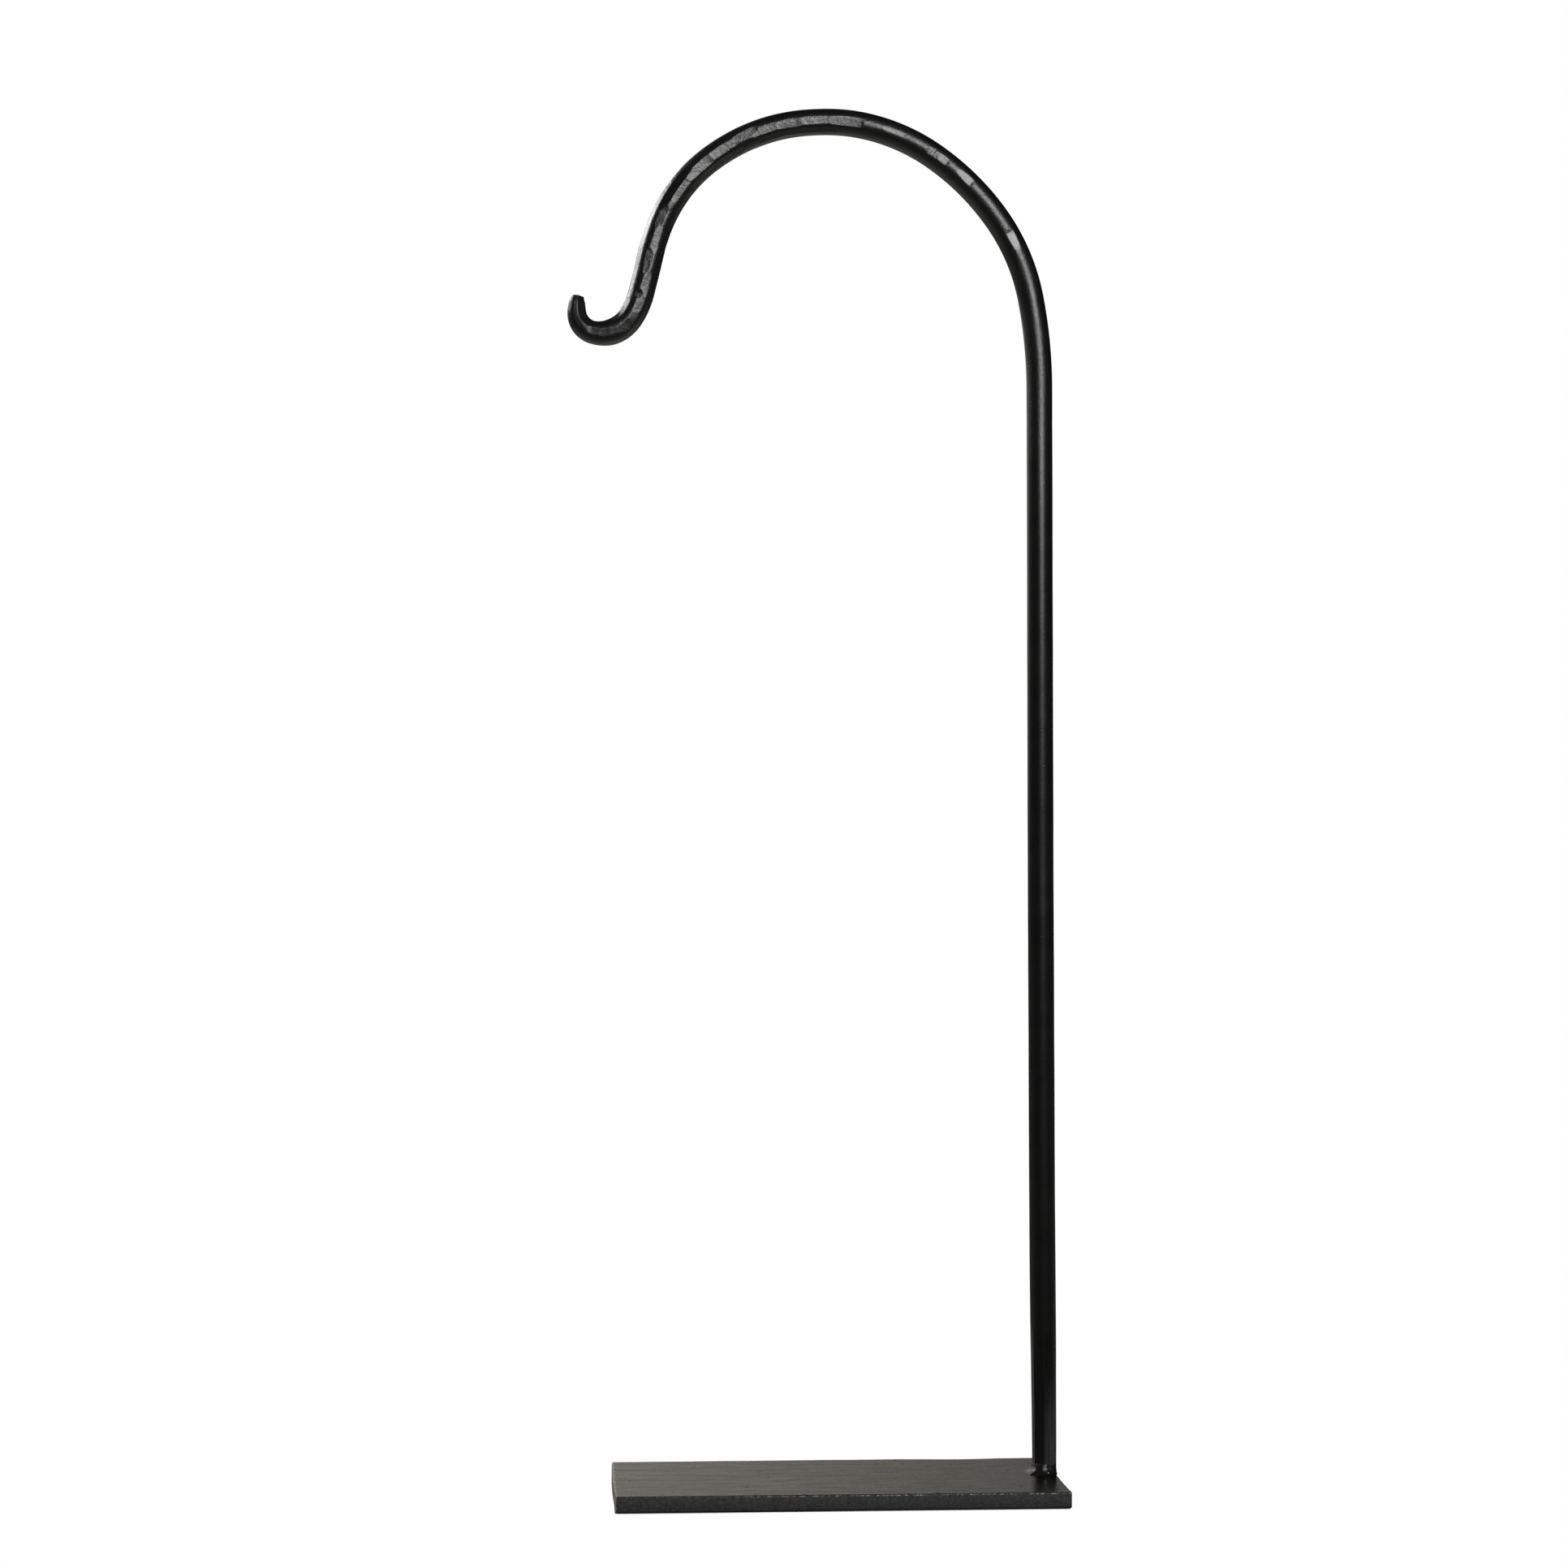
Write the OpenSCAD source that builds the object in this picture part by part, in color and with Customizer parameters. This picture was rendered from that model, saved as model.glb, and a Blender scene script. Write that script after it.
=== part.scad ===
// Hanging stand: a round bar forged into a tall crook with a small hook at its end,
// welded upright on one end of a flat-bar base.
// Millimetres. Origin: middle of the base's underside. X runs along the base, from the hook's
// end (-X) to the post's end (+X), -Y is the front, Z is up.

/* [Base plate] */
// Length of the flat bar
plate_l = 138; // [110:1:180]
// Width of the flat bar
plate_w = 50; // [40:1:80]
// Thickness of the flat bar
plate_t = 5; // [4:0.5:8]
// Radius of the eased upright corners
plate_corner_r = 1.2; // [0.4:0.2:4]

/* [Post] */
// Diameter of the round bar
bar_d = 8; // [6:0.5:10]
// Height above the floor at which the post starts to bend
post_top = 345; // [250:1:400]
// How far the post stands behind the middle of the plate
post_back = 3.5; // [0:0.5:10]
// Diameter of the post where it meets the plate, after the weld was dressed
foot_d = 7.3; // [6.5:0.1:8]
// Length of post over which the dressing fades out
foot_l = 35; // [10:1:60]

/* [Arch] */
// Radius of the first, slow bend above the post
lead_r = 150; // [120:5:180]
// Turn of the first, slow bend, in degrees
lead_a = 11; // [8:1:14]
// Radius of the shoulder on the post's side
shoulder_r = 64; // [56:1:72]
// Turn of the shoulder, in degrees
shoulder_a = 25; // [20:1:30]
// Radius of the flatter stretch between shoulder and crown
haunch_r = 80; // [70:1:90]
// Turn of the flatter stretch, in degrees
haunch_a = 20; // [15:1:25]
// Radius of the crown
crown_r = 60; // [54:1:66]
// Turn of the crown, in degrees
crown_a = 79; // [72:1:84]
// Radius of the shoulder on the hook's side
far_r = 42; // [36:1:48]
// Turn of the shoulder on the hook's side, in degrees
far_a = 29.5; // [25:0.5:34]
// Length of the straight shank down to the hook
shank_l = 20; // [14:1:30]

/* [Hook] */
// Radius of the bend that leads into the hook
throat_r = 28; // [22:1:34]
// Turn of the bend that leads into the hook, in degrees
throat_a = 16; // [10:1:22]
// Radius of the bottom of the hook
bowl_r = 11; // [9:0.5:14]
// Turn of the bottom of the hook, in degrees
bowl_a = 70; // [60:1:80]
// Radius of the tighter bend up to the tip
lip_r = 7; // [6:0.5:9]
// Turn of the tighter bend, in degrees
lip_a = 77; // [65:1:85]
// Radius of the last, nearly straight piece
tip_r = 20; // [15:1:30]
// Turn of the last piece, in degrees
tip_a = 13; // [6:1:18]
// Diameter of the drawn-down tip
tip_d = 5; // [4:0.2:6]

/* [Weld] */
// How far the fillet spreads over the plate from the bar
weld_leg = 4; // [2.5:0.5:5]
// How far the fillet climbs the bar
weld_h = 4.5; // [2.5:0.5:6]
// How far the fillet stands proud of the plate's end
weld_proud = 0.6; // [0.2:0.1:1]

/* [Hidden] */

bar_r = bar_d / 2;
// The post's side is flush with the plate's end.
post_x = plate_l / 2 - bar_r;

// The crook as a chain of tangent stretches. Each is [signed radius, turn], with a positive
// radius turning left and a negative one turning right, or [0, length] where it is straight.
FULL = [
    [lead_r, lead_a],
    [shoulder_r, shoulder_a],
    [haunch_r, haunch_a],
    [crown_r, crown_a],
    [far_r, far_a],
    [0, shank_l],
    [-throat_r, throat_a]
];
DRAWN = [
    [-bowl_r, bowl_a],
    [-lip_r, lip_a],
    [-tip_r, tip_a]
];
PATH = concat(FULL, DRAWN);

// Neighbouring stretches differ by a hair in radius, and the thinner one runs on inside the
// thicker by the lap, so that they join in a clean step.
HAIR = 0.02;
LAP = 0.4;

// Degrees between the rings of the drawn-down hook, and points in each ring
RING_STEP = 5;
RING_POINTS = 24;
// Rings that round off the blunt tip
CAP_RINGS = 5;
// How far the rounded end reaches past the centreline, as a part of the tip's radius
CAP_REACH = 0.7;

// Unit vector along a heading, and the one to its left, in the plane of the crook
function along(h) = [cos(h), sin(h)];
function left_of(h) = [-sin(h), cos(h)];

// Signed turn and length of a stretch
function turn(s) = s[0] == 0 ? 0 : sign(s[0]) * s[1];
function len_of(s) = s[0] == 0 ? s[1] : abs(s[0]) * s[1] * PI / 180;

// Where a stretch gets to after a part f of its length, from point p and heading h
function reach(p, h, s, f) =
    s[0] == 0 ? p + along(h) * s[1] * f
              : p + s[0] * (left_of(h) - left_of(h + turn(s) * f));

// Heading and place at the start of stretch i
function heading(i) = i == 0 ? 90 : heading(i - 1) + turn(PATH[i - 1]);
function place(i) =
    i == 0 ? [post_x, post_top] : reach(place(i - 1), heading(i - 1), PATH[i - 1], 1);

// Bar diameter at a part t of the drawn-down hook
function drawn_d(t) = bar_d - (bar_d - tip_d) * t * t;

// One ring of the hook: a circle of radius r across the centreline, at point p and heading h
function ring(p, h, r) = [
    for (k = [0 : RING_POINTS - 1])
        let (a = 360 * k / RING_POINTS, q = p + left_of(h) * r * cos(a))
            [q[0], q[1], r * sin(a)]
];

// Length of the drawn-down stretches before the j-th of them
function run(j) = j == 0 ? 0 : run(j - 1) + len_of(DRAWN[j - 1]);

// Straight or bent stretch i of full-thickness bar, drawn in the XY plane
module stretch(i) {
    s = PATH[i];
    h = heading(i);
    p = place(i);
    thick = i % 2 == 0;
    r = bar_r + (thick ? HAIR : 0);
    lap = thick ? 0 : LAP;
    if (s[0] == 0) {
        q = p - along(h) * lap;
        translate([q[0], q[1], 0])
            rotate([0, 90, h])
                cylinder(h = s[1] + 2 * lap, r = r, $fn = 64);
    } else {
        c = p + s[0] * left_of(h);
        more = lap / abs(s[0]) * 180 / PI;
        first = s[0] > 0 ? h - 90 : h + 90 - s[1];
        translate([c[0], c[1], 0])
            rotate([0, 0, first - more])
                rotate_extrude(angle = s[1] + 2 * more, $fn = 180)
                    translate([abs(s[0]), 0])
                        circle(r = r, $fn = 64);
    }
}

// The drawn-down hook with its blunt, rounded tip, drawn in the XY plane
module drawn_hook() {
    n0 = len(FULL);
    total = run(len(DRAWN));
    last = len(PATH);
    end_r = tip_d / 2;
    root = [ring(place(n0) - along(heading(n0)) * LAP, heading(n0), bar_r)];
    body = [
        for (j = [0 : len(DRAWN) - 1])
            let (s = DRAWN[j], n = ceil(s[1] / RING_STEP))
                for (k = [j == 0 ? 0 : 1 : n])
                    let (f = k / n, t = (run(j) + len_of(s) * f) / total)
                        ring(reach(place(n0 + j), heading(n0 + j), s, f),
                             heading(n0 + j) + turn(s) * f, drawn_d(t) / 2)
    ];
    cap = [
        for (k = [1 : CAP_RINGS])
            let (a = 90 * k / (CAP_RINGS + 0.5))
                ring(place(last) + along(heading(last)) * end_r * CAP_REACH * sin(a),
                     heading(last), end_r * cos(a))
    ];
    rings = concat(root, body, cap);
    n = RING_POINTS;
    m = len(rings);
    polyhedron(
        points = [for (r = rings) each r],
        faces = concat(
            [[for (k = [0 : n - 1]) k]],
            [for (i = [0 : m - 2], k = [0 : n - 1])
                [i * n + k, (i + 1) * n + k, (i + 1) * n + (k + 1) % n, i * n + (k + 1) % n]],
            [[for (k = [n - 1 : -1 : 0]) (m - 1) * n + k]]
        )
    );
}

// Solid of revolution of the post, from the plate up to the first bend
module post() {
    translate([post_x, post_back, plate_t]) {
        cylinder(h = foot_l, d1 = foot_d, d2 = bar_d, $fn = 64);
        translate([0, 0, foot_l])
            cylinder(h = post_top + LAP - plate_t - foot_l, d = bar_d, $fn = 64);
    }
}

// Flat bar, cut to length, with eased corners
module base_plate() {
    in_x = plate_l / 2 - plate_corner_r;
    in_y = plate_w / 2 - plate_corner_r;
    color("#5a5856")
        linear_extrude(plate_t) {
            square([plate_l, 2 * in_y], center = true);
            square([2 * in_x, plate_w], center = true);
            for (x = [-in_x, in_x], y = [-in_y, in_y])
                translate([x, y])
                    circle(r = plate_corner_r, $fn = 48);
        }
}

// The post, the crook and the hook, which are one bar
module forged_bar() {
    color("#1d1d1e") {
        post();
        translate([0, post_back, 0])
            rotate([90, 0, 0]) {
                for (i = [0 : len(FULL) - 1])
                    stretch(i);
                drawn_hook();
            }
    }
}

// Hollow fillet of weld metal round the foot of the post, dressed off near the plate's end
module weld_fillet() {
    toe = bar_r + weld_leg;
    color("#2b2a29")
        difference() {
            intersection() {
                translate([post_x, post_back, plate_t])
                    rotate_extrude($fn = 96)
                        difference() {
                            square([toe, weld_h]);
                            translate([toe, weld_h])
                                scale([weld_leg, weld_h])
                                    circle(r = 1, $fn = 96);
                        }
                translate([0, post_back, 0])
                    linear_extrude(plate_t + 2 * weld_h)
                        translate([post_x - toe, -toe])
                            square([toe + bar_r + weld_proud, 2 * toe]);
            }
            post();
        }
}

base_plate();
forged_bar();
weld_fillet();
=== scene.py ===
import math
import random

import bpy
import numpy as np
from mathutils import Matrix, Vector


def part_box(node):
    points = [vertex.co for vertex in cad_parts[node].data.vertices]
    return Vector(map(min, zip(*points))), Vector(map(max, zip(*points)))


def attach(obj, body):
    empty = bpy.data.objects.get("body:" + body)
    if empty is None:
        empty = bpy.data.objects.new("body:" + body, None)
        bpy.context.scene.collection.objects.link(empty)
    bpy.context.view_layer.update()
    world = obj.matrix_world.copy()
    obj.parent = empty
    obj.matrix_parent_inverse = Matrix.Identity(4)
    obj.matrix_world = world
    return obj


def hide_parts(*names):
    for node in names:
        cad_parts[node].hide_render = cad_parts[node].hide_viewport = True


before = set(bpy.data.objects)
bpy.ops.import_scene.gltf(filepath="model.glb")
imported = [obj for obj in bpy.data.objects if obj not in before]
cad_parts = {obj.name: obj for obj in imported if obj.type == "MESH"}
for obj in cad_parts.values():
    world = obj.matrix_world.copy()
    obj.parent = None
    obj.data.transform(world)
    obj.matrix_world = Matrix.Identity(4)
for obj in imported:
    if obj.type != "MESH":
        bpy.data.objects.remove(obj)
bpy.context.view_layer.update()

MM = 0.001

# ---------------------------------------------------------------- sizes, from the frame

PLATE_LO, PLATE_HI = (np.array(c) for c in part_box("base_plate"))
PLATE_T = PLATE_HI[2]

# The bar's own design values, the same as in the CAD source: stock, post and chain of bends
BAR_R = 4.0 * MM
POST_X = PLATE_HI[0] - BAR_R
POST_Y = 3.5 * MM
POST_TOP = 345 * MM
# (signed radius in mm, turn in degrees); a positive radius turns left, 0 is (0, length in mm)
BENDS = [
    (150, 11),     # slow lead into the arch
    (64, 25),      # shoulder above the post
    (80, 20),      # flatter haunch
    (60, 79),      # crown
    (42, 29.5),    # shoulder above the hook
    (0, 20),       # straight shank
    (-28, 16),     # throat
    (-11, 70),     # bottom of the hook
    (-7, 77),      # tight bend up to the tip
    (-20, 13),     # last piece
]
RING_POINTS = 96


# ---------------------------------------------------------------- mesh helpers

def make_object(name, verts, faces, smooth=True):
    """A mesh object in the scene, smooth-shaded unless it is told otherwise."""
    mesh = bpy.data.meshes.new(name)
    mesh.from_pydata([tuple(v) for v in verts], [], faces)
    mesh.validate()
    mesh.update()
    if smooth:
        mesh.polygons.foreach_set("use_smooth", [True] * len(mesh.polygons))
    obj = bpy.data.objects.new(name, mesh)
    bpy.context.scene.collection.objects.link(obj)
    return obj


def smooth_noise(t, seed, period):
    """Smooth pseudo-random values from -1 to 1 along t, with about one wave per period."""
    rng = np.random.default_rng(seed)
    total = np.zeros_like(t, dtype=float)
    weight = 0.0
    for octave in range(4):
        amount = 0.6 ** octave
        wave = period / (1.7 ** octave)
        total += amount * np.sin(2 * math.pi * t / wave + rng.uniform(0, 2 * math.pi))
        weight += amount
    return total / weight


def bells(t, peaks):
    """The sum of bell curves along t, each given as (centre, height, half-width)."""
    return sum(height * np.exp(-((t - centre) / spread) ** 2) for centre, height, spread in peaks)


# ---------------------------------------------------------------- the bar's centreline

def bend_table():
    """Each stretch as (run at its start, length, x, z, heading, radius), the post first."""
    table = [(0.0, POST_TOP - PLATE_T, POST_X, PLATE_T, math.pi / 2, 0.0)]
    run, x, z, heading = POST_TOP - PLATE_T, POST_X, POST_TOP, math.pi / 2
    for radius, amount in BENDS:
        length = amount * MM if radius == 0 else abs(radius) * MM * math.radians(amount)
        table.append((run, length, x, z, heading, radius * MM))
        x, z, heading = along_bend(x, z, heading, radius * MM, length)
        run += length
    return table, run


def along_bend(x, z, heading, radius, distance):
    """Where a stretch of this radius gets to after a distance, and its heading there."""
    if radius == 0:
        return x + math.cos(heading) * distance, z + math.sin(heading) * distance, heading
    ahead = heading + distance / radius
    return (x + radius * (math.sin(ahead) - math.sin(heading)),
            z - radius * (math.cos(ahead) - math.cos(heading)), ahead)


STRETCHES, BAR_LENGTH = bend_table()


def centreline(run):
    """The point and heading at each distance along the bar from the foot."""
    rows = []
    for place in run:
        start, _, x, z, heading, radius = [row for row in STRETCHES if row[0] <= place + 1e-12][-1]
        rows.append(along_bend(x, z, heading, radius, place - start))
    x, z, heading = np.array(rows).T
    return x, z, heading


def ring_places():
    """Where the rings go: close together at the foot and in the forged part, wide on the post."""
    foot = np.arange(0, 44, 0.6)
    post = np.arange(44, 336, 2.4)
    forged = np.arange(336, BAR_LENGTH / MM, 0.32)
    return np.concatenate([foot, post, forged, [BAR_LENGTH / MM]]) * MM


# ---------------------------------------------------------------- hammer work on the bar

# A blow is a flat on the round bar: (place along the bar in mm, angle round it in degrees,
# depth in mm, length in mm, slope in degrees). Places count from the foot. Angle 0 faces the
# front, +90 the inside of the arch and -90 the outside. A flat with a slope is deeper towards
# the tip, or towards the foot if the slope is negative.
FRONT_BLOWS = [
    (386.8, -2.5, 0.16, 6.4, 1.2),
    (412.4, -2.0, 0.15, 6.2, -1.2),
    (420.9, 1.5, 0.16, 3.6, 0.0),
    (423.6, 4.5, 0.14, 1.7, 0.0),
    (424.7, 2.0, 0.24, 0.4, 0.0),
    (425.9, 4.0, 0.15, 1.7, -1.0),
    (438.6, 1.0, 0.04, 7.0, 0.0),
    (454.2, 6.5, 0.23, 9.8, -0.2),
    (464.5, 4.5, 0.16, 10.0, 0.0),
    (472.3, 6.5, 0.20, 8.0, 0.0),
    (480.2, 5.5, 0.16, 8.6, 0.3),
    (487.4, -5.0, 0.18, 8.4, -1.4),
    (494.6, 4.0, 0.18, 10.0, 0.6),
    (504.8, 6.5, 0.24, 9.8, -0.8),
    (513.5, 10.0, 0.12, 9.0, 0.0),
    (514.5, -24.0, 0.22, 15.0, 0.0),
    (524.2, -5.0, 0.22, 6.4, 0.0),
    (531.6, 6.0, 0.12, 9.0, 0.3),
    (539.2, -4.0, 0.20, 7.6, -0.8),
    (546.0, 10.5, 0.17, 7.4, 0.8),
    (549.0, -7.0, 0.34, 1.5, 9.0),
    (552.6, 9.5, 0.19, 5.4, 0.0),
    (556.8, 14.0, 0.14, 4.0, 0.0),
    (560.9, 15.0, 0.24, 4.4, -3.0),
    (565.4, 6.0, 0.16, 5.0, 1.5),
    (569.4, 0.0, 0.16, 4.4, 2.0),
    (574.5, 9.0, 0.04, 8.0, 0.8),
    (580.4, 6.0, 0.12, 6.0, 0.3),
    (577.0, -34.0, 0.34, 15.0, 1.5),
]
# Narrower flats that were dressed lengthwise on both flanks of the hook
FLANK_BLOWS = [
    (531.0, -62.0, 0.16, 34.0, 0.0),
    (558.0, -52.0, 0.20, 12.0, 0.0),
    (548.0, 58.0, 0.14, 26.0, 0.0),
    (500.0, 52.0, 0.12, 22.0, 0.0),
    (470.0, 48.0, 0.10, 26.0, 0.0),
]
# Where grinding dressed the weld, the foot of the post has flats of the same kind.
GROUND_FLATS = [
    (16, 34, 0.34, 44, 0.0),
    (18, -15, 0.30, 50, 0.0),
    (15, 84, 0.36, 60, 0.0),
    (15, -92, 0.24, 40, 0.0),
    (14, 150, 0.30, 46, 0.0),
    (14, -150, 0.30, 46, 0.0),
]
# Where the bar wanders off its even bends: (place, shift towards the inside, half-width), in mm
WANDER = [(464, 0.16, 9), (516, 0.30, 8), (534, -0.24, 5), (550, 0.24, 9), (581, -0.50, 9)]
# Radius of the drawn-down tip: (place, radius), in mm
TIP_TAPER = [
    (561.0, 4.12),
    (565.0, 4.05),
    (570.0, 3.66),
    (575.0, 3.34),
    (580.0, 2.90),
    (582.6, 2.54),
    (584.2, 1.95),
]


def random_blows(seed, start, end, spacing, depth_range, angle_range):
    """Blows scattered along a stretch, at the spacing a hammer leaves, all in millimetres."""
    rng = random.Random(seed)
    blows = []
    place = start
    while place < end:
        angle = rng.uniform(*angle_range)
        depth = rng.uniform(*depth_range)
        blows.append((place, angle, depth, rng.uniform(6, 13), rng.uniform(-1.5, 1.5)))
        place += spacing * rng.uniform(0.6, 1.4)
    return blows


def all_blows():
    end = BAR_LENGTH / MM - 8
    return (FRONT_BLOWS + FLANK_BLOWS + GROUND_FLATS
            + random_blows(11, 440, end, 4.5, (0.08, 0.24), (130, 230))
            + random_blows(12, 380, 440, 11.0, (0.04, 0.14), (110, 250))
            + random_blows(13, 470, end, 7.0, (0.03, 0.10), (60, 120))
            + random_blows(14, 470, end, 7.0, (0.03, 0.10), (-120, -80)))


def base_radius(run):
    """The bar's radius before the blows: dressed foot, slight swell on the arch, drawn tip."""
    swell = np.clip((run - 330 * MM) / (60 * MM), 0, 1)
    r = BAR_R + (0.05 + 0.05 * swell) * MM
    foot = np.clip(1 - run / (50 * MM), 0, 1)
    r -= 0.24 * MM * foot
    places = np.array([p for p, _ in TIP_TAPER]) * MM
    radii = np.array([q for _, q in TIP_TAPER]) * MM
    return np.where(run > places[0], np.interp(run, places, radii), r)


def forged_radius(run, angles):
    """Radius at every ring and angle, with the flats cut in, and how far each point was struck."""
    base = base_radius(run)
    lumps = 0.02 * MM * smooth_noise(run, 5, 47 * MM)
    r = np.repeat((base + lumps)[:, None], len(angles), axis=1)
    round_bar = r.copy()
    edge = 0.018 * MM
    end_wall = 0.22
    for place, angle, depth, length, slope in all_blows():
        centre, half, cut = place * MM, length * MM / 2, depth * MM
        rows = np.where(np.abs(run - centre) < half + 1.2 * MM)[0]
        if len(rows) == 0:
            continue
        u = run[rows] - centre
        rise = end_wall * np.clip(np.abs(u) - half, 0, None)
        crown = cut * 0.45 * np.clip(np.abs(u) / half, 0, 1) ** 4
        floor = base[rows] - cut - u * math.tan(math.radians(slope)) + rise + crown
        delta = (angles - math.radians(angle) + math.pi) % (2 * math.pi) - math.pi
        near = np.abs(delta) < math.radians(75)
        limit = floor[:, None] / np.cos(delta[near])[None, :]
        block = np.ix_(rows, np.where(near)[0])
        old = r[block]
        low = np.minimum(old, limit)
        blend = edge * np.log(np.exp(-(old - low) / edge) + np.exp(-(limit - low) / edge))
        r[block] = low - blend
    struck = np.clip((round_bar - r) / (0.04 * MM), 0, 1)
    # The blows on the clean bend left it burnished, and the heavy forging near the hook less so
    burnish = np.interp(run / MM, (430, 446, 500, 535), (1.0, 0.7, 0.6, 0.15))
    struck *= burnish[:, None]
    # The outer flank above the hook was dressed smooth
    flank = np.exp(-((np.degrees(angles) - 290) / 26) ** 4)
    dressed = np.interp(run / MM, (500, 512, 560, 568), (0.0, 1.0, 1.0, 0.0))
    return r, np.maximum(struck, dressed[:, None] * flank[None, :])


def foot_lean(run):
    """How far the post stands towards the plate's end, in mm: mostly at its foot."""
    return (0.07 + 0.73 / (1 + (run / (62 * MM)) ** 2)) * np.clip(1.5 - run / (300 * MM), 0, 1)


def build_bar():
    """The one forged bar: rings across the centreline, closed at the foot and round the tip."""
    run = ring_places()
    x, z, heading = centreline(run)
    angles = np.arange(RING_POINTS) * 2 * math.pi / RING_POINTS
    radii, struck = forged_radius(run, angles)
    along = np.stack([np.cos(heading), np.zeros_like(run), np.sin(heading)], 1)
    inner = np.stack([-np.sin(heading), np.zeros_like(run), np.cos(heading)], 1)
    front = np.array([0.0, -1.0, 0.0])
    # The post leans out a little at its foot, and the arch isn't quite in one plane
    lean = foot_lean(run)
    shift = bells(run / MM, WANDER) - lean
    sway = 0.25 * smooth_noise(run, 8, 260 * MM) * np.clip((run - 60 * MM) / (120 * MM), 0, 1)
    centres = np.stack([x, np.full_like(x, POST_Y), z], 1)
    centres += (shift[:, None] * inner - sway[:, None] * front) * MM

    # Rings past the end of the centreline round off the blunt tip, whose end slants
    cap_reach, cap_rings = 0.60 * MM, 9
    cap_centres, cap_radii = [], []
    for i in range(1, cap_rings + 1):
        u = math.sin(0.5 * math.pi * i / (cap_rings + 0.4))
        slant = 0.22 * MM * u
        cap_centres.append(centres[-1] + along[-1] * cap_reach * u - inner[-1] * slant)
        cap_radii.append(radii[-1] * (1 - u ** 3.0) ** (1 / 2.2))
    centres = np.vstack([centres, cap_centres])
    radii = np.vstack([radii, cap_radii])
    struck = np.vstack([struck, np.repeat(struck[-1:], cap_rings, axis=0)])
    inner = np.vstack([inner, np.repeat(inner[-1:], cap_rings, axis=0)])

    cosines, sines = np.cos(angles), np.sin(angles)
    offsets = cosines[None, :, None] * front + sines[None, :, None] * inner[:, None, :]
    verts = (centres[:, None, :] + radii[:, :, None] * offsets).reshape(-1, 3)
    n, m = RING_POINTS, len(centres)
    faces = []
    for i in range(m - 1):
        for k in range(n):
            a, b = i * n + k, i * n + (k + 1) % n
            faces.append((a, a + n, b + n, b))
    faces.append(tuple(range(n)))
    faces.append(tuple(range(m * n - 1, (m - 1) * n - 1, -1)))
    bar = make_object("forged_bar_hammered", verts, faces)
    forged = np.interp(run / MM, (440, 460, 555, 566), (0.0, 1.0, 1.0, 2.0))
    forged = np.append(forged, np.full(cap_rings, forged[-1]))
    for name, values in (("struck", struck), ("forged", np.repeat(forged[:, None], n, axis=1))):
        marks = bar.data.attributes.new(name, "FLOAT", "POINT")
        marks.data.foreach_set("value", values.reshape(-1))
    return bar


# ---------------------------------------------------------------- the weld

# How far the weld reaches out over the plate and up the bar, in mm, at angles from the plate's
# end towards the back, in degrees. It was dressed away over the plate's end and at the front.
WELD_ANGLES = (0, 50, 120, 180, 215, 245, 270, 290, 310, 335, 360)
WELD_REACH = (0.7, 1.6, 2.6, 2.5, 2.9, 2.4, 2.2, 2.0, 1.7, 1.2, 0.7)
WELD_RISE = (5.4, 4.4, 3.4, 3.0, 3.3, 3.5, 3.4, 3.0, 2.9, 3.6, 5.4)
# Lumps that the grinder missed: (angle as above, part of the way out, height in mm)
WELD_LUMPS = [(222, 0.86, 0.38), (278, 0.60, 0.36), (122, 0.55, 0.26), (40, 0.50, 0.20)]


def build_weld():
    """A hollow fillet round the foot, a little rippled, with its toe feathered into the plate."""
    around, across = 240, 28
    centre_x = POST_X + foot_lean(0.0) * MM
    inner_r = BAR_R - 1.2 * MM
    limit_x = PLATE_HI[0] + 0.25 * MM
    turn = np.arange(around) * 2 * math.pi / around
    # The bar's own section at the foot, at the bar angles that match these directions
    foot_r = forged_radius(np.array([3 * MM]), np.arctan2(-np.cos(turn), -np.sin(turn)))[0][0]
    # Weld metal fills the ridges between the flats
    foot_r = np.mean([np.roll(foot_r, k) for k in range(-9, 10)], axis=0)
    reach = np.interp(np.degrees(turn), WELD_ANGLES, WELD_REACH) * MM
    reach *= 1 + 0.06 * np.sin(5 * turn + 0.8) + 0.02 * np.sin(11 * turn + 2.0)
    rise = np.interp(np.degrees(turn), WELD_ANGLES, WELD_RISE) * MM
    verts, faces = [], []
    for i, a in enumerate(turn):
        for j in range(across + 1):
            # A quarter of a hollow curve, from a low lip on the bar to far out on the plate
            hollow = math.pi / 2 * j / across
            lip = 0.22 * MM * (1 - math.exp(-((j / across) / 0.10) ** 2)) - 0.12 * MM
            lump = sum(height * MM * math.exp(-((math.degrees(a) - angle) / 7) ** 2
                                              - ((j / across - part) / 0.13) ** 2)
                       for angle, part, height in WELD_LUMPS)
            r = foot_r[i] + (1 - math.cos(hollow)) * reach[i] + lip + lump * math.cos(hollow)
            z = PLATE_T + (1 - math.sin(hollow)) * rise[i] + lump * math.sin(hollow)
            z -= 0.05 * MM if j == across else 0
            x = min(centre_x + r * math.cos(a), limit_x)
            verts.append((x, POST_Y + r * math.sin(a), z))
        verts.append((centre_x + inner_r * math.cos(a), POST_Y + inner_r * math.sin(a),
                      PLATE_T - 0.05 * MM))
    ring = across + 2
    for i in range(around):
        following = (i + 1) % around
        for j in range(ring):
            k = (j + 1) % ring
            faces.append((i * ring + j, i * ring + k, following * ring + k, following * ring + j))
    return make_object("weld_fillet_dressed", verts, faces)


# ---------------------------------------------------------------- the base plate

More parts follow.
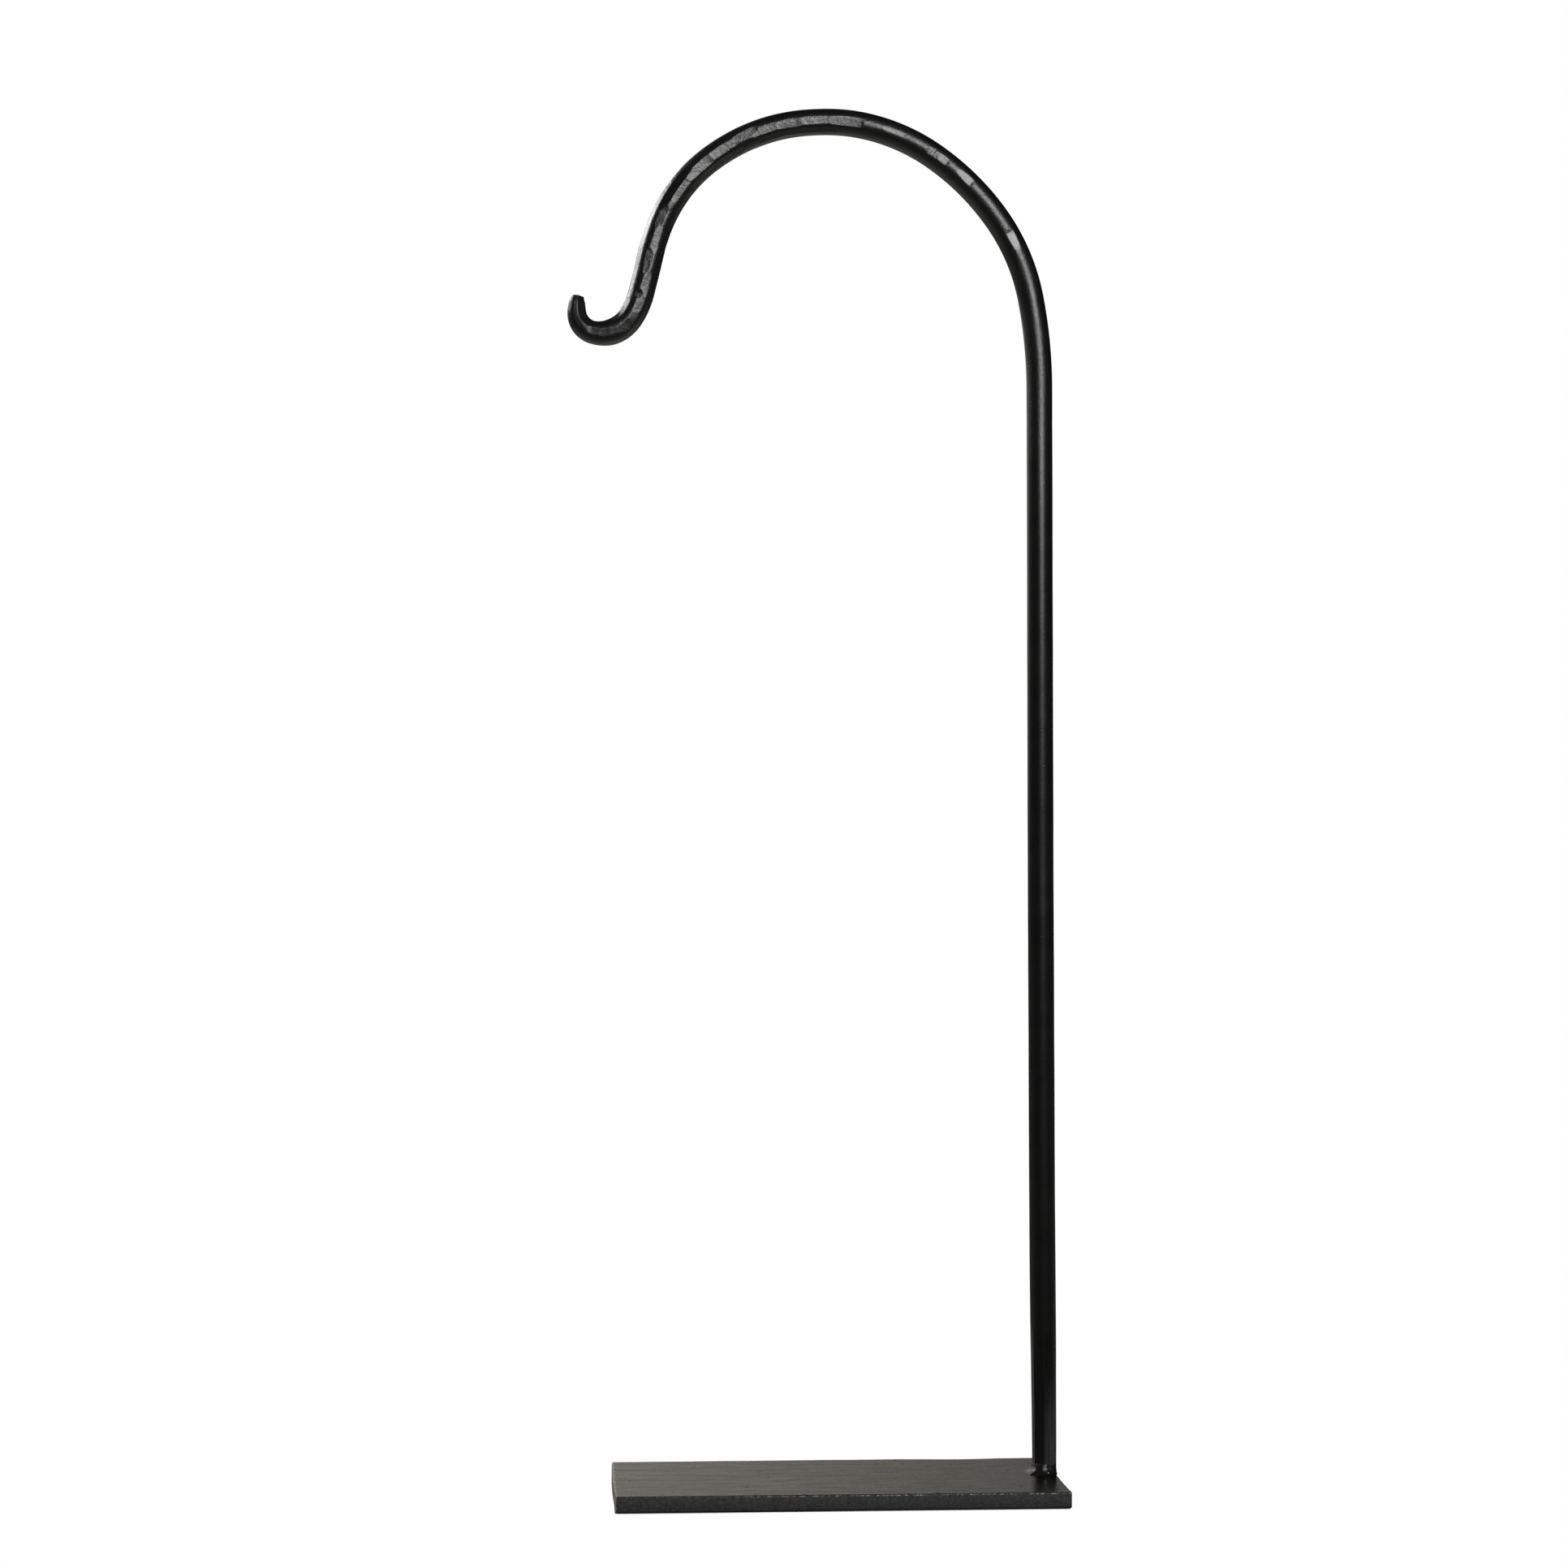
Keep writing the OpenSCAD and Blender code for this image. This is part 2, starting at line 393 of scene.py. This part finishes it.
def graded(low, high, step, edge_steps):
    """Stations from low to high: the given distances in from each end, then even steps."""
    inner_low, inner_high = low + edge_steps[-1], high - edge_steps[-1]
    count = max(1, int(round((inner_high - inner_low) / step)))
    middle = [inner_low + (inner_high - inner_low) * i / count for i in range(1, count)]
    left = [low] + [low + e for e in edge_steps]
    right = [high - e for e in reversed(edge_steps)] + [high]
    return np.array(left + middle + right)


def build_plate():
    """Flat bar: rolled long edges, ground ends that aren't quite straight, nicked arrises."""
    edge = [0.12 * MM, 0.28 * MM, 0.5 * MM, 0.8 * MM, 1.2 * MM]
    xs = graded(PLATE_LO[0], PLATE_HI[0], 0.6 * MM, edge)
    ys = graded(PLATE_LO[1], PLATE_HI[1], 0.9 * MM, edge)
    zs = graded(0, PLATE_T, 0.35 * MM, edge)
    nx, ny, nz = len(xs) - 1, len(ys) - 1, len(zs) - 1
    index, verts, faces = {}, [], []

    def corner(i, j, k):
        if (i, j, k) not in index:
            index[(i, j, k)] = len(verts)
            verts.append((xs[i], ys[j], zs[k]))
        return index[(i, j, k)]

    for i in range(nx):
        for j in range(ny):
            faces.append((corner(i, j, nz), corner(i + 1, j, nz),
                          corner(i + 1, j + 1, nz), corner(i, j + 1, nz)))
            faces.append((corner(i, j, 0), corner(i, j + 1, 0),
                          corner(i + 1, j + 1, 0), corner(i + 1, j, 0)))
    for i in range(nx):
        for k in range(nz):
            faces.append((corner(i, 0, k), corner(i + 1, 0, k),
                          corner(i + 1, 0, k + 1), corner(i, 0, k + 1)))
            faces.append((corner(i, ny, k), corner(i, ny, k + 1),
                          corner(i + 1, ny, k + 1), corner(i + 1, ny, k)))
    for j in range(ny):
        for k in range(nz):
            faces.append((corner(0, j, k), corner(0, j, k + 1),
                          corner(0, j + 1, k + 1), corner(0, j + 1, k)))
            faces.append((corner(nx, j, k), corner(nx, j + 1, k),
                          corner(nx, j + 1, k + 1), corner(nx, j, k + 1)))
    p = shape_plate(np.array(verts))
    return make_object("base_plate_ground", p, faces)


def shape_plate(p):
    """Rounds the arrises of the plain block, then adds what the saw and grinder left."""
    half = np.array([(PLATE_HI[0] - PLATE_LO[0]) / 2, (PLATE_HI[1] - PLATE_LO[1]) / 2, PLATE_T / 2])
    centre = np.array([0.0, 0.0, PLATE_T / 2])
    q = p - centre
    # Rolled arris on the long sides, softer upright corners
    r_long, r_end, r_corner = 0.24 * MM, 0.45 * MM, 0.6 * MM
    q = round_pair(q, half, 1, 2, r_long)
    q = round_pair(q, half, 0, 2, r_end)
    q = round_pair(q, half, 0, 1, r_corner)
    y, z = q[:, 1], q[:, 2]
    # The two ends wander a little from square
    at_left = np.clip((-q[:, 0] - half[0] + 3 * MM) / (3 * MM), 0, 1)
    at_right = np.clip((q[:, 0] - half[0] + 3 * MM) / (3 * MM), 0, 1)
    left_wave = -0.32 * np.cos((y - 6 * MM) / half[1] * 1.9) + 0.05 * smooth_noise(y, 3, 5 * MM)
    right_wave = (0.58 * np.clip((-y - 3 * MM) / (22 * MM), 0, 1) ** 2 + 0.02
                  + 0.05 * smooth_noise(y, 4, 6 * MM))
    q[:, 0] += at_left * left_wave * MM + at_right * right_wave * MM
    # Chips on the left end's front corner
    chips = ((1.5, 0.45, 0.7), (0.2, 0.35, 0.4))
    for height, depth, spread in chips:
        near = np.exp(-((z - height * MM) / (spread * MM)) ** 2 - ((y + half[1]) / (1.2 * MM)) ** 2)
        q[:, 0] += at_left * near * depth * MM
    # Long shallow waves on the top, and nicks along the top arrises
    top = np.clip(z / half[2], 0, 1) ** 8
    q[:, 2] += top * 0.03 * MM * smooth_noise(q[:, 0] + 0.7 * y, 9, 31 * MM)
    # The back edge is low between the middle and the weld, which pulled it up
    low_spot = np.exp(-((q[:, 0] - POST_X + 24 * MM) / (13 * MM)) ** 2)
    q[:, 2] -= top * 0.22 * MM * low_spot * np.clip(y / half[1], 0, 1) ** 4
    # The plate isn't quite square with the arch
    q[:, 1] -= 0.2 * MM + 0.5 * MM * q[:, 0] / half[0]
    side = np.clip((np.abs(y) - half[1] + 0.6 * MM) / (0.6 * MM), 0, 1)
    nick = smooth_noise(q[:, 0], 21, 6.3 * MM) * smooth_noise(q[:, 0], 22, 17 * MM)
    nick = np.clip(nick - 0.25, 0, 1)
    q[:, 2] -= top * side * nick * 0.12 * MM
    q[:, 1] -= np.sign(y) * top * side * nick * 0.10 * MM
    return q + centre


def round_pair(q, half, a, b, radius):
    """Rounds the four edges that run along the third axis, where |a| and |b| are both near full."""
    q = q.copy()
    over_a = np.clip(np.abs(q[:, a]) - (half[a] - radius), 0, None)
    over_b = np.clip(np.abs(q[:, b]) - (half[b] - radius), 0, None)
    both = (over_a > 0) & (over_b > 0)
    largest = np.maximum(over_a, over_b)
    length = np.hypot(over_a, over_b)
    scale = np.where(both, largest / np.where(length > 0, length, 1), 1)
    q[:, a] = np.sign(q[:, a]) * (np.minimum(np.abs(q[:, a]), half[a] - radius) + over_a * scale)
    q[:, b] = np.sign(q[:, b]) * (np.minimum(np.abs(q[:, b]), half[b] - radius) + over_b * scale)
    return q


# ---------------------------------------------------------------- materials

class Nodes:
    """Short calls for building a node tree, on a material or on the world."""

    def __init__(self, owner, coordinates="Object"):
        owner.use_nodes = True
        self.owner = owner
        self.tree = owner.node_tree
        self.place = self.add("ShaderNodeTexCoord").outputs[coordinates]

    @classmethod
    def material(cls, name):
        nodes = cls(bpy.data.materials.new(name))
        nodes.bsdf = nodes.tree.nodes["Principled BSDF"]
        return nodes

    def add(self, kind, **settings):
        node = self.tree.nodes.new(kind)
        for key, value in settings.items():
            setattr(node, key, value)
        return node

    def join(self, source, socket):
        self.tree.links.new(source, socket)

    def put(self, socket, value):
        if isinstance(value, bpy.types.NodeSocket):
            self.join(value, socket)
        else:
            socket.default_value = value

    def stretch(self, scale):
        node = self.add("ShaderNodeMapping")
        self.join(self.place, node.inputs["Vector"])
        node.inputs["Scale"].default_value = scale
        return node.outputs["Vector"]

    def noise(self, scale, detail=3.0, rough=0.55, warp=0.0, vector=None):
        node = self.add("ShaderNodeTexNoise")
        self.join(vector or self.place, node.inputs["Vector"])
        node.inputs["Scale"].default_value = scale
        node.inputs["Detail"].default_value = detail
        node.inputs["Roughness"].default_value = rough
        node.inputs["Distortion"].default_value = warp
        return node.outputs["Fac"]

    def cells(self, scale):
        node = self.add("ShaderNodeTexVoronoi", feature="F1")
        self.join(self.place, node.inputs["Vector"])
        node.inputs["Scale"].default_value = scale
        return node.outputs["Distance"]

    def math(self, operation, a, b=0.0, clamp=False):
        node = self.add("ShaderNodeMath", operation=operation, use_clamp=clamp)
        self.put(node.inputs[0], a)
        self.put(node.inputs[1], b)
        return node.outputs[0]

    def span(self, value, low, high, to_low=0.0, to_high=1.0, soft=False):
        node = self.add("ShaderNodeMapRange")
        node.interpolation_type = "SMOOTHSTEP" if soft else "LINEAR"
        ends = {"From Min": low, "From Max": high, "To Min": to_low, "To Max": to_high}
        for key, number in ends.items():
            node.inputs[key].default_value = number
        self.join(value, node.inputs["Value"])
        return node.outputs["Result"]

    def mix(self, factor, a, b):
        node = self.add("ShaderNodeMix", data_type="RGBA")
        self.put(node.inputs["Factor"], factor)
        self.put(node.inputs["A"], a)
        self.put(node.inputs["B"], b)
        return node.outputs["Result"]

    def axis(self, name):
        node = self.add("ShaderNodeSeparateXYZ")
        self.join(self.place, node.inputs[0])
        return node.outputs[name]

    def attribute(self, name):
        return self.add("ShaderNodeAttribute", attribute_name=name).outputs["Fac"]

    def bump(self, height, distance, strength=1.0, normal=None):
        node = self.add("ShaderNodeBump")
        node.inputs["Strength"].default_value = strength
        node.inputs["Distance"].default_value = distance
        self.join(height, node.inputs["Height"])
        if normal is not None:
            self.join(normal, node.inputs["Normal"])
        return node.outputs["Normal"]


def grey(value, warm=0.0):
    """A grey, leaning to yellow as warm rises and to blue below zero."""
    return (value * (1 + 0.45 * warm), value, value * (1 - warm), 1.0)


def black_bar_material():
    """Black finish over forged steel: grainy where the scale is left, smoother where struck."""
    n = Nodes.material("black_forged_steel")
    struck = n.attribute("struck")
    arch = n.span(n.axis("Z"), 0.29, 0.350, 0.30, 1.0, True)
    left_rough = n.math("MULTIPLY", arch, n.span(struck, 0.0, 1.0, 0.55, 0.30))
    grain = n.noise(1150, 4.0, 0.62, 0.6)
    fine = n.noise(2600, 3.0, 0.6, 0.2)
    forged = n.attribute("forged")
    # The hook is hammered all over, except that its tip was filed
    hammered = n.math("MULTIPLY", n.noise(430, 2.0, 0.5, 0.4),
                      n.math("MINIMUM", forged, n.span(forged, 1.0, 2.0, 1.0, 0.55)))
    hammered = n.math("MULTIPLY", hammered, n.span(struck, 0.0, 1.0, 1.0, 0.45))
    patches = n.noise(95, 3.0, 0.6, 0.3)
    pits = n.span(n.cells(430), 0.06, 0.16)
    height = n.math("ADD", grain, n.math("MULTIPLY", fine, 0.25))
    height = n.math("MULTIPLY", height, left_rough)
    normal = n.bump(height, 0.15 * MM, 1.0)
    normal = n.bump(pits, 0.05 * MM, 0.25, normal)
    normal = n.bump(hammered, 0.16 * MM, 1.0, normal)
    n.join(normal, n.bsdf.inputs["Normal"])
    rough = n.math("SUBTRACT", n.span(patches, 0.3, 0.7, 0.25, 0.31), n.math("MULTIPLY", struck, 0.05))
    rough = n.math("ADD", rough, n.math("MULTIPLY", arch, 0.05))
    # The foot was ground when the weld was dressed
    rough = n.math("ADD", rough, n.span(n.axis("Z"), 12 * MM, 34 * MM, 0.16, 0.0, True))
    rough = n.math("ADD", rough, n.span(forged, 1.0, 2.0, 0.0, 0.05))
    n.join(rough, n.bsdf.inputs["Roughness"])
    tone = n.mix(patches, grey(0.0030), grey(0.0055, 0.03))
    # The same grinding thinned the black on the side towards the plate's end; this lighter grey is
    # also a painted sheen for that side catching the front softbox
    thinned_and_sheen = n.math("MULTIPLY", n.span(n.axis("Z"), 12 * MM, 40 * MM, 1.0, 0.0, True),
                     n.span(n.axis("X"), POST_X - 0.1 * MM, POST_X + 1.2 * MM, 0.0, 1.0, True))
    lines = n.span(n.noise(1.0, 3.0, 0.6, 0.0, n.stretch((1300, 1300, 60))), 0.35, 0.65, 0.3, 1.0)
    tone = n.mix(n.math("MULTIPLY", thinned_and_sheen, lines), tone, grey(0.030))
    n.join(tone, n.bsdf.inputs["Base Color"])
    n.bsdf.inputs["Specular IOR Level"].default_value = 0.5
    return n.owner


def weld_material():
    """Blackened weld metal, dressed smooth in places and left rough in others."""
    n = Nodes.material("black_weld_metal")
    ripples = n.noise(620, 3.0, 0.55, 0.8)
    n.join(n.bump(ripples, 0.14 * MM, 0.8), n.bsdf.inputs["Normal"])
    n.join(n.span(n.noise(380), 0.40, 0.60, 0.20, 0.36), n.bsdf.inputs["Roughness"])
    n.join(n.mix(n.noise(300), grey(0.003), grey(0.008, 0.05)), n.bsdf.inputs["Base Color"])
    return n.owner


def plate_material():
    """Lacquered mill scale: streaks along the flat bar, pits, grinder strokes, worn arrises."""
    n = Nodes.material("blackened_flat_bar")
    x, y, z = n.axis("X"), n.axis("Y"), n.axis("Z")
    on_top = n.span(z, PLATE_T - 0.30 * MM, PLATE_T - 0.12 * MM)
    at_left = n.span(x, PLATE_LO[0] + 0.3 * MM, PLATE_LO[0] + 0.8 * MM, 1.0, 0.0)
    streaks = n.noise(1.0, 5.0, 0.68, 0.9, n.stretch((80, 300, 300)))
    hair = n.noise(1.0, 4.0, 0.7, 0.3, n.stretch((300, 900, 900)))
    clouds = n.noise(1.0, 4.0, 0.6, 0.5, n.stretch((24, 60, 60)))
    grain = n.noise(1100, 4.0, 0.75, 0.3)
    pits = n.math("SUBTRACT", 1.0, n.span(n.cells(140), 0.06, 0.11), True)
    pits = n.math("MULTIPLY", pits, on_top)

    # A few short strokes that the grinder left in arcs, on the open side of the post's foot
    dx = n.math("SUBTRACT", x, POST_X)
    dy = n.math("SUBTRACT", y, POST_Y)
    away = n.math("SQRT", n.math("ADD", n.math("MULTIPLY", dx, dx), n.math("MULTIPLY", dy, dy)))
    ground = n.math("MULTIPLY", n.span(away, 10 * MM, 32 * MM, 1.0, 0.0, True),
                    n.span(dx, -14 * MM, -5 * MM, 1.0, 0.0, True))
    arcs = n.add("ShaderNodeCombineXYZ")
    n.join(n.math("MULTIPLY", away, 480.0), arcs.inputs["X"])
    bearing = n.math("ARCTAN2", dx, n.math("MULTIPLY", dy, -1.0))
    n.join(n.math("MULTIPLY", bearing, 2.0), arcs.inputs["Y"])
    strokes = n.noise(1.0, 2.0, 0.5, 0.2, arcs.outputs["Vector"])
    strokes = n.math("MULTIPLY", n.span(strokes, 0.56, 0.72), n.math("MULTIPLY", ground, on_top))

    height = n.math("ADD", streaks, n.math("MULTIPLY", hair, 0.30))
    # Round the post's foot the top gets a painted reflection of the dark post, and its streaks are
    # flattened there
    post_reflection_mask = n.span(away, 14 * MM, 34 * MM, 0.97, 0.0, True)
    height = n.math("MULTIPLY", height, n.math("SUBTRACT", on_top, n.math("MULTIPLY", post_reflection_mask, 0.7)))
    height = n.math("ADD", height, n.math("MULTIPLY", strokes, 0.16))
    normal = n.bump(height, 0.30 * MM, 0.8)
    normal = n.bump(grain, 0.05 * MM, 0.5, normal)
    normal = n.bump(n.math("SUBTRACT", 1.0, pits), 0.12 * MM, 0.6, normal)
    n.join(normal, n.bsdf.inputs["Normal"])

    # Bare metal in broken specks just below the top arris, fewer towards the left
    near_side = n.span(on_top, 0.0, 0.4, 1.0, 0.0)
    near_top = n.span(z, PLATE_T - 0.62 * MM, PLATE_T - 0.44 * MM)
    specks = n.span(n.noise(1.0, 5.0, 0.8, 0.0, n.stretch((900, 700, 700))), 0.49, 0.60)
    specks = n.math("MULTIPLY", specks, n.span(x, -0.06, 0.02, 0.20, 1.0, True))
    wear = n.math("MULTIPLY", n.math("MULTIPLY", near_side, near_top), specks, True)

    # The sides are darker than the top; painted shade darkens them towards the floor, and the lowest
    # half millimetre is painted near black as the contact shadow under the plate
    side_tone_and_shade = n.mix(n.span(grain, 0.35, 0.65), grey(0.016, -0.03), grey(0.050, -0.03))
    side_tone_and_shade = n.mix(n.span(z, 0.0, PLATE_T, 0.55, 0.0), side_tone_and_shade, grey(0.002))
    side_tone_and_shade = n.mix(n.span(z, 0.3 * MM, 0.7 * MM, 0.95, 0.0), side_tone_and_shade, grey(0.001))
    top_tone = n.mix(n.span(clouds, 0.35, 0.65), grey(0.010, 0.22), grey(0.016, 0.28))
    top_tone = n.mix(n.span(streaks, 0.40, 0.66), top_tone, grey(0.032, 0.28))
    top_tone = n.mix(n.span(hair, 0.42, 0.60, 0.35, 0.0), top_tone, grey(0.004))
    # Painted reflection of the post: the top goes near black round its foot
    top_tone = n.mix(post_reflection_mask, top_tone, grey(0.002))
    top_tone = n.mix(strokes, top_tone, grey(0.030, 0.20))
    tone = n.mix(on_top, side_tone_and_shade, top_tone)
    tone = n.mix(n.math("MULTIPLY", at_left, n.span(grain, 0.40, 0.60)), tone, grey(0.24, 0.14))
    tone = n.mix(pits, tone, grey(0.002))
    tone = n.mix(wear, tone, grey(0.34, 0.02))
    n.join(tone, n.bsdf.inputs["Base Color"])
    rough = n.span(streaks, 0.3, 0.75, 0.16, 0.28)
    n.join(n.mix(on_top, grey(0.45), rough), n.bsdf.inputs["Roughness"])
    n.join(n.mix(on_top, grey(1.0), grey(0.97, 0.10)), n.bsdf.inputs["Specular Tint"])
    n.join(n.span(pits, 0.0, 1.0, 0.5, 0.12), n.bsdf.inputs["Specular IOR Level"])
    return n.owner


def floor_material():
    """An overexposed white sweep, with a painted contact shadow: dark only in a thin line along the
    plate's long sides.
    """
    n = Nodes.material("white_floor")
    n.bsdf.inputs["Base Color"].default_value = grey(0.0)
    n.bsdf.inputs["Specular IOR Level"].default_value = 0.0
    n.bsdf.inputs["Emission Color"].default_value = grey(1.0)
    # Ambient occlusion darkens the floor's glow into a painted contact shadow beside the plate
    contact = n.add("ShaderNodeAmbientOcclusion", samples=8)
    contact.inputs["Distance"].default_value = 1.6 * MM
    shade = n.span(contact.outputs["AO"], 0.50, 0.92, 1.0, 0.0)
    beside = n.span(n.math("ABSOLUTE", n.axis("X")), PLATE_HI[0] - 0.1 * MM, PLATE_HI[0], 1.0, 0.0)
    white = n.math("SUBTRACT", 1.0, n.math("MULTIPLY", shade, beside))
    n.join(white, n.bsdf.inputs["Emission Strength"])
    return n.owner


# ---------------------------------------------------------------- studio

def look_at(obj, target):
    direction = np.array(target) - np.array(obj.location)
    yaw = math.atan2(-direction[0], direction[1])
    pitch = math.atan2(direction[2], math.hypot(direction[0], direction[1]))
    obj.rotation_euler = (math.pi / 2 + pitch, 0, yaw)


def soft_light(name, place, target, width, height, watts):
    """A rectangular soft light, which the steel mirrors but the camera doesn't see."""
    data = bpy.data.lights.new(name, "AREA")
    data.shape = "RECTANGLE"
    data.size, data.size_y, data.energy = width, height, watts
    obj = bpy.data.objects.new(name, data)
    bpy.context.scene.collection.objects.link(obj)
    obj.location = place
    look_at(obj, target)
    obj.visible_camera = False


def build_studio():
    crook = (0.0, POST_Y, 0.38)
    soft_light("front_softbox", (0.27, -1.0, 0.672), crook, 0.50, 0.36, 9.4)
    soft_light("left_panel", (-1.37, 0.74, 1.24), crook, 1.34, 0.50, 18.0)

    side = 12.0
    corners = [(-side, -side, 0), (side, -side, 0), (side, side, 0), (-side, side, 0)]
    floor = make_object("floor", corners, [(0, 1, 2, 3)], smooth=False)
    floor.data.materials.append(floor_material())
    floor.visible_glossy = False
    floor.visible_diffuse = False
    build_world()
    bpy.context.scene.view_settings.view_transform = "Standard"


def build_world():
    """White to the camera, a dim even fill, and a dark room with a pale floor in the gloss."""
    world = bpy.data.worlds.new("studio")
    bpy.context.scene.world = world
    n = Nodes(world, "Generated")
    world.cycles.sampling_method = "NONE"
    x, y, z = (n.axis(name) for name in "XYZ")
    floor_glow = n.math("MULTIPLY", n.span(z, -0.55, 0.0, 1.0, 0.0, True),
                        n.span(y, -0.7, 0.5, 0.03, 0.55, True))
    wall_glow = n.math("MULTIPLY", n.span(x, -0.10, 0.28, 0.83, 0.0),
                       n.math("MULTIPLY", n.span(y, 0.25, 0.75, 0.0, 1.0, True),
                              n.span(z, 0.0, 0.10, 0.0, 1.0, True)))
    wall_glow = n.math("MULTIPLY", wall_glow, n.span(z, 0.45, 0.75, 1.0, 0.0, True))
    room = n.math("ADD", n.math("ADD", floor_glow, wall_glow), 0.01)
    path = n.add("ShaderNodeLightPath")
    glow = n.mix(path.outputs["Is Glossy Ray"], grey(0.35), n.mix(room, grey(0.0), grey(1.0, 0.08)))
    glow = n.mix(path.outputs["Is Camera Ray"], glow, grey(1.0))
    n.join(glow, n.tree.nodes["Background"].inputs["Color"])


def build_camera():
    data = bpy.data.cameras.new("camera")
    data.sensor_width = 36.0
    data.lens = 66.97
    data.shift_x = 0.0342
    data.clip_start = 0.01
    camera = bpy.data.objects.new("camera", data)
    bpy.context.scene.collection.objects.link(camera)
    camera.location = (-0.0839, -0.9065, 0.2003)
    camera.rotation_euler = (math.radians(90 + 1.24), 0, math.radians(-3.23))
    bpy.context.scene.camera = camera


# ---------------------------------------------------------------- assembly

build_camera()
build_studio()

PIECES = [
    (build_plate(), plate_material(), "base_plate", "base_steel"),
    (build_bar(), black_bar_material(), "forged_bar", "bar_steel"),
    (build_weld(), weld_material(), "weld_fillet", "weld_steel"),
]
for piece, material, node, slot in PIECES:
    piece.data.materials.append(material)
    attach(piece, "root")
    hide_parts(node)
